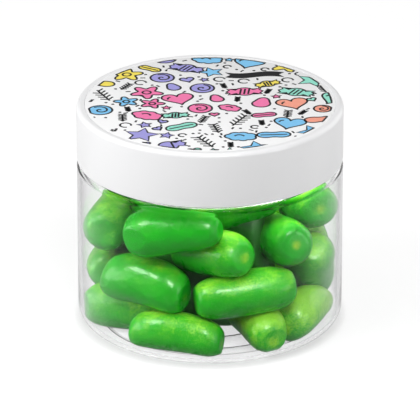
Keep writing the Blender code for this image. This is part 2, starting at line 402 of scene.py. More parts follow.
@dataclass(frozen=True)
class CandyCoat:
    """The sugar coat of a chewy candy: glossy, finely pebbled and mottled green, lighter and
    yellower on top and deeper below as painted light, with painted shade in each end's dimple.
    """

    bright: Color = (0.23, 0.56, 0.03)
    middle: Color = (0.014, 0.31, 0.007)
    deep: Color = (0.001, 0.27, 0.004)
    heel: Color = (0.32, 0.44, 0.02)
    sheen: Color = (0.75, 1.0, 0.68)
    patch: float = 4.5 * MM
    speckle: float = 0.36 * MM
    relief: Relief = Relief(Grain.PEBBLES, 0.8 * MM, 0.35, 0.18 * MM, 0.7)
    painted_top_light_gain: float = 0.38
    roughness: float = 0.26

    def build(self, effects: Effects) -> Finish:
        """Make the material."""
        coat = Surface("chewy_candy_coat", {
            "Specular IOR Level": 0.42, "Specular Tint": self.sheen, "Subsurface Weight": 0.2,
            "Subsurface Scale": 1.2 * MM, "Subsurface Radius": (0.3, 1.0, 0.2),
            "Coat Weight": 0.35, "Coat Roughness": 0.21, "Coat IOR": 1.5})
        tree = coat.tree
        # Each candy's tone, partly painted light and shade, plus painted top light: up-facing
        # parts lighter and yellower, undersides deeper green
        lean = coat.attribute("shade") - 0.06 + coat.attribute("painted_top_light") * self.painted_top_light_gain
        patches = tree.read(coat.group(effects.mottle, {
            "Patch Size": self.patch, "Contrast": 1.1, "Lean": lean}), "Mask")
        speckle = tree.read(coat.group(effects.mottle, {
            "Patch Size": self.speckle, "Contrast": 1.4, "Lean": 0.2}), "Mask")
        tip, seen = coat.attribute("tip"), coat.attribute("heel")
        heel = (1.0 - tip.ramp(0.02, 0.28)) * seen * (speckle * 1.6 + 0.5)
        # A darker ring round each end's dimple: painted shade in the recess
        painted_dimple_shade = tip.ramp(0.15, 0.40) * (1.0 - tip.ramp(0.50, 0.85)) * seen
        greens = tree.add("ShaderNodeValToRGB", {0: patches + speckle - painted_dimple_shade * 0.5 - 0.2})
        stops = greens.color_ramp.elements
        stops.new(0.5)
        for stop, color in zip(stops, (self.deep, self.middle, self.bright)):
            stop.color = (*color, 1.0)
        coat.set("Base Color", tree.blend(heel, greens.outputs["Color"], self.heel))
        coat.relief(effects, self.relief)
        coat.set("Roughness", patches * 0.08 + self.roughness)
        return coat.material


@dataclass(frozen=True)
class ClearPlastic:
    """Clear moulded plastic, greyer where it is seen edge on as a painted shaded outline. Lamps
    shine through it to the candies.
    """

    tint: Color = (0.965, 0.965, 0.970)
    # The grey of the painted shaded outline
    edge: Color = (0.36, 0.34, 0.38)
    painted_outline_from: float = 0.68
    refraction: float = 1.50
    mirror: Color = (0.05, 0.05, 0.05)
    relief: Relief = Relief(Grain.RIPPLE, 9.0 * MM, 0.0, 0.02 * MM, 0.08)

    def build(self, effects: Effects) -> Finish:
        """Make the material."""
        clear = Surface("clear_moulded_plastic", {
            "Roughness": 0.0, "IOR": self.refraction, "Transmission Weight": 1.0,
            "Specular Tint": self.mirror})
        clear.relief(effects, self.relief)
        tree = clear.tree
        # Painted shaded outline: the colour turns grey where the surface is seen edge on
        painted_outline = tree.read(tree.add("ShaderNodeLayerWeight"), "Facing").ramp(self.painted_outline_from, 1.0)
        clear.set("Base Color", tree.blend(painted_outline, self.tint, self.edge))
        lamp = tree.add("ShaderNodeBsdfTransparent", {"Color": self.tint})
        path = tree.add("ShaderNodeLightPath")
        mix = tree.add("ShaderNodeMixShader", {
            0: path.outputs["Is Shadow Ray"], 1: clear.shader.outputs[0], 2: lamp.outputs[0]})
        tree.feed(clear.output.inputs["Surface"], mix.outputs[0])
        return clear.material


@dataclass(frozen=True)
class Mottled:
    """A finish in soft patches of two colours, with or without a relief."""

    name: str
    first: Color
    second: Color
    patch: float
    contrast: float
    lean: float
    looks: Mapping[str, float]
    relief: Optional[Relief] = None

    def build(self, effects: Effects) -> Finish:
        """Make the material."""
        surface = Surface(self.name, self.looks)
        colors = surface.group(effects.mottle, {
            "Patch Size": self.patch, "Contrast": self.contrast, "Lean": self.lean,
            "First": self.first, "Second": self.second})
        surface.set("Base Color", colors.outputs["Color"])
        if self.relief is not None:
            surface.relief(effects, self.relief)
        return surface.material


def white_plastic(name: str, dark: Color, light: Color, roughness: float) -> Mottled:
    """Smooth white moulded plastic with a soft gloss."""
    looks = {"Roughness": roughness, "Coat Weight": 0.15, "Coat Roughness": 0.1}
    return Mottled(name, dark, light, 18.0 * MM, 1.0, 0.5, looks,
                   Relief(Grain.RIPPLE, 14.0 * MM, 0.15, 0.04 * MM, 0.3))


def print_ink(name: str, color: Color) -> Mottled:
    """One printed ink, slightly uneven in its cover."""
    thin = tuple(min(1.0, part * 1.12 + 0.01) for part in color)
    return Mottled("ink_" + name, color, thin, 1.2 * MM, 1.4, 0.35,
                   {"Roughness": 0.35, "Specular IOR Level": 0.25})


# The candies deep inside the heap, in a green darkened as painted shade
CANDY_CORE_PAINTED_SHADE = Mottled(
    "candy_core_painted_shade", (0.004, 0.07, 0.006), (0.020, 0.20, 0.012), 7.0 * MM, 2.5, 0.5,
    {"Roughness": 0.5, "Coat Weight": 0.2},
    Relief(Grain.PEBBLES, 0.8 * MM, 0.4, 0.12 * MM, 0.8))
LID_WHITE = white_plastic("white_moulded_plastic", (0.87, 0.87, 0.88), (0.90, 0.90, 0.905), 0.28)
FILM_WHITE = white_plastic("white_print_film", (0.95, 0.95, 0.955), (0.97, 0.97, 0.97), 0.33)


# ----- Turned pieces: the jar, the lid and the film of the print -----

def arc(center: Point2, radius: float, start: float, end: float, steps: int) -> Outline:
    """Points of a circle arc.

    Args:
        center: the circle's middle.
        radius: its radius.
        start: first angle in degrees.
        end: last angle in degrees.
        steps: number of chords.

    Returns:
        The points, both ends included.
    """
    angles = [math.radians(start + (end - start) * i / steps) for i in range(steps + 1)]
    return [(center[0] + radius * math.cos(a), center[1] + radius * math.sin(a)) for a in angles]


def traced(*parts: Sequence[float]) -> Outline:
    """Points as (x, y) and arcs as (x, y, radius, start, end, steps), one after another."""
    points: Outline = []
    for part in parts:
        points += [part] if len(part) == 2 else arc(part[:2], *part[2:])
    return points


def turned(name: str, profile: Outline, material: Finish) -> Piece:
    """Turn a profile about the Z axis into a closed, smooth solid.

    Args:
        name: the piece's name.
        profile: points as (radius, height), from the axis to the axis.
        material: its finish.

    Returns:
        The piece.
    """
    bm = bmesh.new()
    angles = [math.tau * i / TURN_STEPS for i in range(TURN_STEPS)]
    rings = []
    for radius, height in profile:
        spokes = angles if radius > 0.0 else angles[:1]
        ring = [bm.verts.new((radius * math.cos(a), radius * math.sin(a), height))
                for a in spokes]
        rings.append(ring if radius > 0.0 else ring * TURN_STEPS)
    for one, two in zip(rings, rings[1:]):
        for i in range(TURN_STEPS):
            # A point on the axis is two corners at once, so its face has three
            bm.faces.new(dict.fromkeys((one[i - 1], one[i], two[i], two[i - 1])))
    bmesh.ops.recalc_face_normals(bm, faces=bm.faces)
    return piece_from(name, bm, material)


def piece_from(name: str, bm: bmesh.types.BMesh, material: Finish) -> Piece:
    """Make a smooth-shaded piece from a bmesh, which is freed."""
    mesh = bpy.data.meshes.new(name)
    bm.to_mesh(mesh)
    bm.free()
    mesh.materials.append(material)
    mesh.shade_smooth()
    mesh.set_sharp_from_angle(angle=math.radians(SHARP_ANGLE))
    return linked(name, mesh)


@dataclass(frozen=True)
class Jar:
    """The clear jar: domed base with moulded rings, straight wall, small shoulder, neck."""

    radius: float = 35.5 * MM
    wall: float = 1.1 * MM
    foot_corner: float = 4.0 * MM
    foot_inner: float = 29.3 * MM
    foot_round: float = 0.35 * MM
    neck_root: float = 0.25 * MM
    floor: float = 1.0 * MM
    push_up: float = 1.4 * MM
    rings: Tuple[float, float] = (18.2 * MM, 24.5 * MM)
    ring_height: float = 0.15 * MM
    ring_half: float = 0.4 * MM
    shoulder_top: float = 45.5 * MM
    shoulder_radius: float = 1.8 * MM
    neck_radius: float = 33.5 * MM
    neck_wall: float = 1.4 * MM
    rim_top: float = 58.9 * MM

    @property
    def inside(self) -> float:
        """Radius of the straight wall's inner face."""
        return self.radius - self.wall

    @property
    def neck_inside(self) -> float:
        """Radius of the neck's inner face."""
        return self.neck_radius - self.neck_wall

    @property
    def inner_corner(self) -> float:
        """Radius of the corner between floor and wall, inside."""
        return self.foot_corner - self.floor

    def dome(self, radius: float) -> float:
        """Height of the base's dome at a radius."""
        return self.push_up * max(0.0, 1.0 - (radius / self.foot_inner) ** 2)

    def underside(self) -> Outline:
        """The base's lower face from the axis to the foot ring, with its moulded rings."""
        points = [(0.0, self.dome(0.0))]
        for ring in self.rings:
            for step in range(-4, 5):
                radius = ring + self.ring_half * step / 4
                swell = self.ring_height * math.cos(math.pi * step / 8) ** 2
                points.append((radius, self.dome(radius) - swell))
        edge, round_off = self.foot_inner - self.ring_half, self.foot_round
        return points + traced(
            (edge - self.ring_half, self.dome(edge - self.ring_half)),
            (edge, round_off, round_off, 90, 0, 4),
            (self.foot_inner, 0.05 * MM), (self.foot_inner + 0.1 * MM, 0.0))

    def profile(self) -> Outline:
        """The whole wall's outline, outside and inside."""
        bend = self.shoulder_radius
        shoulder = self.shoulder_top - bend
        lip, root = self.neck_wall / 2, self.neck_root
        foot, inner = self.foot_corner, self.inner_corner
        flat = ((self.inside - inner) * step / 12.5 for step in range(12, -1, -1))
        return self.underside() + traced(
            (self.radius - foot, foot, foot, -90, 0, 24),
            (self.radius - bend, shoulder, bend, 0, 90, 16),
            (self.neck_radius + root, self.shoulder_top + root, root, -90, -180, 4),
            (self.neck_radius - lip, self.rim_top - lip, lip, 0, 180, 12),
            (self.neck_inside, self.shoulder_top - self.wall),
            (self.inside - bend / 2, shoulder, bend / 2, 90, 0, 8),
            (self.inside - inner, foot, inner, 0, -90, 16),
            *((radius, self.floor + self.dome(radius)) for radius in flat))

    def build(self, finish: Finish) -> Piece:
        """Turn the jar."""
        return turned("jar_shell", self.profile(), finish)


@dataclass(frozen=True)
class Lid:
    """The white screw lid: plain skirt, rounded edges and a shallow seat for the print."""

    radius: float = 35.5 * MM
    wall: float = 1.2 * MM
    bottom: float = 45.9 * MM
    top: float = 61.1 * MM
    top_edge: float = 1.2 * MM
    low_edge: float = 0.35 * MM
    top_thickness: float = 1.8 * MM
    seat_radius: float = 33.3 * MM
    seat_depth: float = 0.8 * MM
    seat_edge: float = 0.15 * MM

    def profile(self) -> Outline:
        """The lid's outline, from the seat's middle round the skirt to the underside."""
        inside = self.radius - self.wall
        under = self.top - self.top_thickness
        seat = self.top - self.seat_depth
        soft, high, low = self.seat_edge, self.top_edge, self.low_edge
        return traced(
            (0.0, seat), (self.seat_radius, seat),
            (self.seat_radius + soft, self.top - soft, soft, 180, 90, 4),
            (self.radius - high, self.top - high, high, 90, 0, 14),
            (self.radius - low, self.bottom + low, low, 0, -90, 6),
            (inside, self.bottom),
            (inside - high, under - high, high, 0, 90, 6),
            (0.0, under))

    def build(self, finish: Finish) -> Piece:
        """Turn the lid."""
        return turned("lid_cap", self.profile(), finish)


# ----- The print: a generic pattern of outlined doodles -----

class Ink(Enum):
    """The print's inks, each with its colour."""

    BLACK = (0.012, 0.012, 0.014)
    PINK = (0.88, 0.20, 0.42)
    BLUE = (0.22, 0.56, 0.86)
    VIOLET = (0.36, 0.34, 0.72)
    MINT = (0.30, 0.74, 0.60)
    YELLOW = (0.90, 0.74, 0.12)
    SALMON = (0.90, 0.36, 0.26)


class Motif(Enum):
    """The closed shapes of the pattern."""

    HEART = "heart"
    STAR = "star"
    FLOWER = "flower"
    CLOUD = "cloud"
    SWEET = "sweet"
    DROP = "drop"
    BUBBLE = "bubble"
    LEAF = "leaf"


def polar(radius: Callable[[float], float], steps: int) -> Outline:
    """A closed outline from its radius at each angle."""
    angles = [math.tau * i / steps for i in range(steps)]
    return [(radius(a) * math.cos(a), radius(a) * math.sin(a)) for a in angles]


def heart() -> Outline:
    """A heart about two units across."""
    points = []
    steps, half_width, lift = 48, 16.5, 2.5
    for step in range(steps):
        a = math.tau * step / steps
        x = 16 * math.sin(a) ** 3
        y = 13 * math.cos(a) - 5 * math.cos(2 * a) - 2 * math.cos(3 * a) - math.cos(4 * a)
        points.append((x / half_width, (y + lift) / half_width))
    return points


def star() -> Outline:
    """A five-pointed star."""
    points = []
    for step in range(10):
        a = math.pi / 2 + math.pi * step / 5
        reach = 1.05 if step % 2 == 0 else 0.5
        points.append((reach * math.cos(a), reach * math.sin(a)))
    return points


def sweet() -> Outline:
    """A wrapped sweet: a round middle between two fanned twists."""
    return traced(
        (0.0, 0.0, 0.6, 25, 155, 12),
        (-1.05, 0.5), (-0.92, 0.25), (-1.12, 0.0), (-0.92, -0.25), (-1.05, -0.5),
        (0.0, 0.0, 0.6, 205, 335, 12),
        (1.05, -0.5), (0.92, -0.25), (1.12, 0.0), (0.92, 0.25), (1.05, 0.5))


OUTLINES: Dict[Motif, Outline] = {
    Motif.HEART: heart(),
    Motif.STAR: star(),
    Motif.SWEET: sweet(),
    Motif.FLOWER: polar(lambda a: 0.78 + 0.24 * math.cos(5 * a), 60),
    Motif.CLOUD: polar(lambda a: (0.85 + 0.13 * abs(math.sin(3.5 * a)))
                       / math.hypot(math.cos(a), 1.5 * math.sin(a)), 64),
    Motif.DROP: polar(lambda a: 0.55 + 0.42 * max(0.0, math.sin(a)) ** 6, 40),
    Motif.BUBBLE: polar(lambda a: 0.72, 32),
    Motif.LEAF: polar(lambda a: 0.36 + 0.64 * abs(math.cos(a)) ** 3, 48),
}
DASH: Outline = [(-0.8, 0.0), (0.8, 0.0)]
DOT = polar(lambda a: 0.5, 12)
HOOK = arc((0, 0), 0.6, 0, 300, 12)
SPIRAL = [(0.07 * a * math.cos(a), 0.07 * a * math.sin(a)) for a in (i * 0.45 for i in range(19))]
# A stem with pairs of short leaves
SPRIG: List[Outline] = [[(0.0, -1.0), (0.0, 1.0)]] + [
    [(0.0, y), (side, y + 0.3)]
    for y in (-0.8 + 0.4 * step for step in range(5)) for side in (-0.45, 0.45)]
# The black lines inside each motif
DETAILS: Dict[Motif, List[Outline]] = {
    Motif.SWEET: [[(x - 0.08, -0.42), (x + 0.08, 0.42)] for x in (-0.25, 0.0, 0.25)],
    Motif.FLOWER: [arc((0.0, 0.0), 0.26, 0, 360, 14)],
    Motif.BUBBLE: [SPIRAL],
    Motif.HEART: [arc((-0.35, 0.2), 0.28, 100, 190, 6)],
    Motif.LEAF: [DASH],
    Motif.CLOUD: [arc((-0.1, -0.05), 0.3, 20, 160, 8)],
}


class Place(NamedTuple):
    """Where a motif goes: its middle, its size and its turn."""

    spot: Point2
    size: float
    turn: float = 0.0

    def put(self, outline: Outline) -> Outline:
        """An outline given about the motif's middle, moved, turned and sized."""
        cos, sin = math.cos(self.turn) * self.size, math.sin(self.turn) * self.size
        left, low = self.spot
        return [(left + x * cos - y * sin, low + x * sin + y * cos) for x, y in outline]

    def sized(self, factor: float) -> "Place":
        """The same place for a smaller motif."""
        return self._replace(size=self.size * factor)


@dataclass
class Print:
    """Doodles in seven inks on a white film, laid out by a seeded packing rule."""

    lid: Lid
    seed: int = 23
    film_drop: float = 0.03 * MM
    film_radius: float = 33.28 * MM
    film_edge: float = 0.1 * MM
    film_gap: float = 0.02 * MM
    reach: float = 32.3 * MM
    line: float = 0.55 * MM
    line_height: float = 0.03 * MM
    line_rise: float = 0.005 * MM
    ink_rise: float = 0.008 * MM
    black_rise: float = 0.016 * MM
    ink_sunk: float = 0.01 * MM
    large: float = 4.5 * MM
    small: float = 1.7 * MM
    spacing: float = 0.93
    ribbon_spot: Point2 = (12.0 * MM, 20.0 * MM)
    ribbon_half: float = 8.0 * MM
    ribbon_width: float = 1.7 * MM
    fills: Dict[Ink, List[Outline]] = field(default_factory=dict)
    strokes: List[Tuple[Outline, bool]] = field(default_factory=list)

    SPRIG_SHARE = 0.12
    SMALL_SHARES = (0.35, 0.6, 0.8)
    DOT_SHARE = 0.6
    # Middle of each colour's field, in millimetres
    FIELDS = (
        (Ink.PINK, -13.0, 2.0), (Ink.PINK, 10.0, 3.0), (Ink.PINK, 3.0, -8.0),
        (Ink.PINK, -20.0, 8.0), (Ink.BLUE, 2.0, 25.0), (Ink.BLUE, 18.0, -19.0),
        (Ink.BLUE, -27.0, -3.0), (Ink.VIOLET, -10.0, 19.0), (Ink.VIOLET, -14.0, -20.0),
        (Ink.MINT, -3.0, -17.0), (Ink.MINT, 27.0, 6.0), (Ink.YELLOW, 14.0, 16.0),
        (Ink.SALMON, 26.0, -7.0), (Ink.YELLOW, -22.0, 19.0),
    )

    @property
    def film_top(self) -> float:
        """Height of the film's printed face."""
        return self.lid.top - self.film_drop

    def ink_at(self, spot: Point2) -> Ink:
        """The ink of the nearest colour field."""
        return min(self.FIELDS, key=lambda row: math.dist((row[1] * MM, row[2] * MM), spot))[0]

    def clipped(self, outline: Outline) -> Outline:
        """A closed outline cut off at the print's round edge."""
        points = outline
        sides = 72
        limit = self.reach * math.cos(math.pi / sides)
        for side in range(sides):
            a = math.tau * side / sides
            normal = (math.cos(a), math.sin(a))
            depths = [x * normal[0] + y * normal[1] - limit for x, y in points]
            if not depths or max(depths) <= 0.0:
                continue
            kept: Outline = []
            for i, (here, depth) in enumerate(zip(points, depths)):
                before, depth_before = points[i - 1], depths[i - 1]
                if (depth > 0.0) != (depth_before > 0.0):
                    share = depth_before / (depth_before - depth)
                    kept.append((before[0] + share * (here[0] - before[0]),
                                 before[1] + share * (here[1] - before[1])))
                if depth <= 0.0:
                    kept.append(here)
            points = kept
        return points

    def add_shape(self, outline: Outline, ink: Ink, outlined: bool = True) -> None:
        """Add a filled shape with a black line round it."""
        shape = self.clipped(outline)
        if len(shape) < 3:
            return
        self.fills.setdefault(ink, []).append(shape)
        if outlined:
            self.strokes.append((shape, True))

    def add_stroke(self, points: Outline) -> None:
        """Add a black line, without what lies outside the print's edge."""
        run: Outline = []
        for point in points + [(2 * self.reach, 0.0)]:
            if math.hypot(*point) < self.reach:
                run.append(point)
                continue
            if len(run) > 1:
                self.strokes.append((run, False))
            run = []

    def packed_spots(self) -> List[Tuple[Point2, float]]:
        """Places and sizes of motifs that fill the circle without touching: large ones first."""
        rng = np.random.default_rng(self.seed)
        x, y = self.ribbon_spot
        kept_free = ((x + self.ribbon_half * share, y) for share in (-0.75, -0.25, 0.25, 0.75))
        spots: List[Tuple[Point2, float]] = [(spot, self.ribbon_width * 1.4) for spot in kept_free]
        reserved = len(spots)
        for size, tries in ((self.large, 1500), (self.large * 0.75, 1500),
                            (self.large * 0.55, 1800), (self.small, 2500),
                            (self.small * 0.5, 4000)):
            for _ in range(tries):
                radius = (self.reach + size * 0.4) * math.sqrt(rng.uniform())
                angle = rng.uniform(0, math.tau)
                spot = (radius * math.cos(angle), radius * math.sin(angle))
                if all(math.dist(spot, other) > (size + reach) * self.spacing
                       for other, reach in spots):
                    spots.append((spot, size))
        return spots[reserved:]

    def ribbon(self) -> Outline:
        """A black ribbon with a gentle wave and notched ends."""
        steps = [i / 12 for i in range(-12, 13)]
        upper = [(share, 0.10 * math.sin(3 * share) + 0.22) for share in steps]
        lower = [(share, height - 0.44) for share, height in reversed(upper)]
        notched = upper + [(0.82, 0.03)] + lower + [(-0.82, -0.03)]
        return Place(self.ribbon_spot, self.ribbon_half).put(notched)

    def put_shape(self, motif: Motif, place: Place) -> None:
        """Add a coloured motif."""
        self.add_shape(place.put(OUTLINES[motif]), self.ink_at(place.spot))

    def put_strokes(self, strokes: Iterable[Outline], place: Place) -> None:
        """Add black lines given about the middle of a motif."""
        for stroke in strokes:
            self.add_stroke(place.put(stroke))

    def draw_large(self, motif: Motif, choice: float, place: Place) -> None:
        """Add a coloured motif with its lines, or now and then a sprig."""
        if choice < self.SPRIG_SHARE:
            self.put_strokes(SPRIG, place.sized(0.9))
        else:
            self.put_shape(motif, place.sized(0.98))
            self.put_strokes(DETAILS.get(motif, []), place.sized(0.98))

    def draw_small(self, choice: float, place: Place) -> None:
        """Add a sprig, a hook, a small star or a small heart."""
        sprigs, hooks, stars = self.SMALL_SHARES
        if choice < hooks:
            self.put_strokes(SPRIG if choice < sprigs else [HOOK], place)
        else:
            self.put_shape(Motif.STAR if choice < stars else Motif.HEART, place.sized(0.8))

    def draw_speck(self, choice: float, place: Place) -> None:
        """Add a dot or a dash."""
        if choice < self.DOT_SHARE:
            self.add_shape(place._replace(turn=0.0).put(DOT), Ink.BLACK, outlined=False)
        else:
            self.put_strokes([DASH], place._replace(turn=place.turn * 4))

    def draw(self) -> None:
        """Lay out all the motifs."""
        rng = np.random.default_rng(self.seed + 1)
        self.add_shape(self.ribbon(), Ink.BLACK, outlined=False)
        kinds = list(Motif)
        for number, (spot, size) in enumerate(self.packed_spots()):
            place = Place(spot, size, rng.uniform(-0.6, 0.6))
            choice = rng.uniform()
            if size >= self.large * 0.7:
                motif = kinds[(number * 3 + int(choice * 3)) % len(kinds)]
                self.draw_large(motif, choice, place)
            elif size >= self.small:
                self.draw_small(choice, place)
            else:
                self.draw_speck(choice, place)

    def plates(self, name: str, outlines: Iterable[Outline], low: float, high: float,
               finish: Finish) -> Piece:
        """Thin closed plates of ink, one for each outline."""
        bm = bmesh.new()
        for outline in outlines:
            top = [bm.verts.new((x, y, high)) for x, y in outline]
            bottom = [bm.verts.new((x, y, low)) for x, y in outline]
            bm.faces.new(top)
            bm.faces.new(bottom[::-1])
            for i in range(len(outline)):
                bm.faces.new((bottom[i - 1], bottom[i], top[i], top[i - 1]))
        bmesh.ops.triangulate(bm, faces=bm.faces)
        bmesh.ops.recalc_face_normals(bm, faces=bm.faces)
        return piece_from(name, bm, finish)

    def pen_group(self) -> NodeTree:
        """A geometry node group that draws flat ink lines along a mesh's edges."""
        tree, given, result = new_group(
            "Pen", NodeKind.GEOMETRY,
            {"Geometry": Port.SHAPE, "Line Width": Port.NUMBER, "Line Height": Port.NUMBER,
             "Material": Port.MATERIAL},
            {"Geometry": Port.SHAPE})
        nib = tree.add("GeometryNodeCurvePrimitiveQuadrilateral", {
            "Width": given["Line Width"], "Height": given["Line Height"]})
        path = tree.add("GeometryNodeMeshToCurve", {0: given["Geometry"]}).outputs[0]
        upright = tree.add("GeometryNodeSetCurveNormal", {"Curve": path}, mode="Z_UP")
        tree.feed(result.inputs["Geometry"], tree.chain(
            upright.outputs[0],
            Step("CurveToMesh", {"Profile Curve": nib.outputs[0], "Fill Caps": True}),
            Step("RealizeInstances"),
            Step("SetMaterial", {"Material": given["Material"]})))
        return tree.tree

    def lines(self, finish: Finish) -> Piece:
        """All the black lines as one piece."""
        height = self.film_top + self.line_rise
        mesh = bpy.data.meshes.new("print_paths")
        verts: List[Tuple[float, float, float]] = []
        edges: List[Tuple[int, int]] = []
        for points, closed in self.strokes:
            first = len(verts)
            verts += [(x, y, height) for x, y in points]
            edges += [(i, i + 1) for i in range(first, len(verts) - 1)]
            if closed:
                edges.append((len(verts) - 1, first))
        mesh.from_pydata(verts, edges, [])
        return evaluated_piece("print_lines", mesh, self.pen_group(), {
            "Line Width": self.line, "Line Height": self.line_height, "Material": finish})

    def build(self, film: Finish, inks: Mapping[Ink, Finish]) -> List[Piece]:
        """Make the film, the coloured fields and the lines."""
        self.draw()
        low = self.lid.top - self.lid.seat_depth + self.film_gap
        edge = self.film_edge
        profile = traced(
            (0.0, low), (self.film_radius, low),
            (self.film_radius - edge, self.film_top - edge, edge, 0, 90, 3),
            (0.0, self.film_top))
        pieces = [turned("print_film", profile, film)]
        for ink, outlines in self.fills.items():
            rise = self.black_rise if ink is Ink.BLACK else self.ink_rise
            pieces.append(self.plates("print_" + ink.name.lower(), outlines,
                                      self.film_top - self.ink_sunk, self.film_top + rise,
                                      inks[ink]))
        pieces.append(self.lines(inks[Ink.BLACK]))
        return pieces


# ----- The candies -----

@dataclass(frozen=True)
class Candy:
    """One candy: its middle in millimetres, its lie in degrees, and its form."""

    x: float
    y: float
    z: float
    heading: float
    tilt: float
    length: float
    radius: float
    taper: float = 0.0
    blunt: float = 3.4
    # Tone of the candy: at random for the hidden ones; at the front, also painted shade for
    # candies in shadow and painted light for lit ones
    shade: float = 0.45
    heel: float = 0.0

    def ends(self) -> Tuple[np.ndarray, np.ndarray]:
        """The two end centres of the candy taken as a capsule, in millimetres."""
        heading, tilt = math.radians(self.heading), math.radians(self.tilt)
        axis = np.array((math.cos(tilt) * math.cos(heading), math.cos(tilt) * math.sin(heading),
                         math.sin(tilt)))
        half = self.length / 2 - self.radius
        middle = np.array((self.x, self.y, self.z))
        return middle - half * axis, middle + half * axis


# The candies seen at the front, from the top left to the bottom right; their tones include painted
# shade under the lid and painted light where lit
FRONT_CANDIES = (
    Candy(-8.8, -25.4, 34.7, -17, 7, 26.4, 6.1, taper=0.25, shade=0.02),
    Candy(-25.6, -1.4, 28.6, -103, 4, 26.0, 6.7, shade=0.42),
    Candy(0.1, -20.8, 27.6, -49, 14, 25.6, 6.35, taper=-0.05, blunt=3.2, shade=0.50, heel=0.45),
    Candy(6.2, -12.5, 37.9, 14, 14, 26.0, 6.3, shade=0.50),
    Candy(18.4, -12.4, 27.6, -70, 12, 25.5, 6.5, shade=0.28, heel=0.7),
    Candy(25.8, 0.7, 32.3, -76, 16, 25.6, 6.3, shade=0.45, heel=0.6),
    Candy(26.8, -3.4, 15.8, -97, 50, 24.6, 6.8, shade=0.56),
    Candy(-16.6, -20.2, 17.2, -30, -2, 24.4, 6.35, blunt=3.5, shade=0.22, heel=0.2),
    Candy(9.7, -25.6, 17.2, 5, 4, 27.2, 6.1, blunt=3.6, shade=0.36),
    Candy(-9.7, -28.4, 4.9, -18, -2, 25.9, 5.4, shade=0.42, heel=0.35),
    Candy(12.0, -19.6, 3.9, -64, -3, 25.2, 5.9, taper=-0.04, blunt=3.0, shade=0.78, heel=0.35),
    Candy(27.1, -13.8, 3.7, -118, 0, 22.4, 6.0, taper=-0.12, blunt=2.8, shade=0.80, heel=0.3),
    Candy(-27.1, 3.5, 11.7, -87, 5, 26.0, 6.4, shade=0.44),
    Candy(-21.9, -12.5, 9.1, -35, 3, 25.6, 6.3, shade=0.46),
)


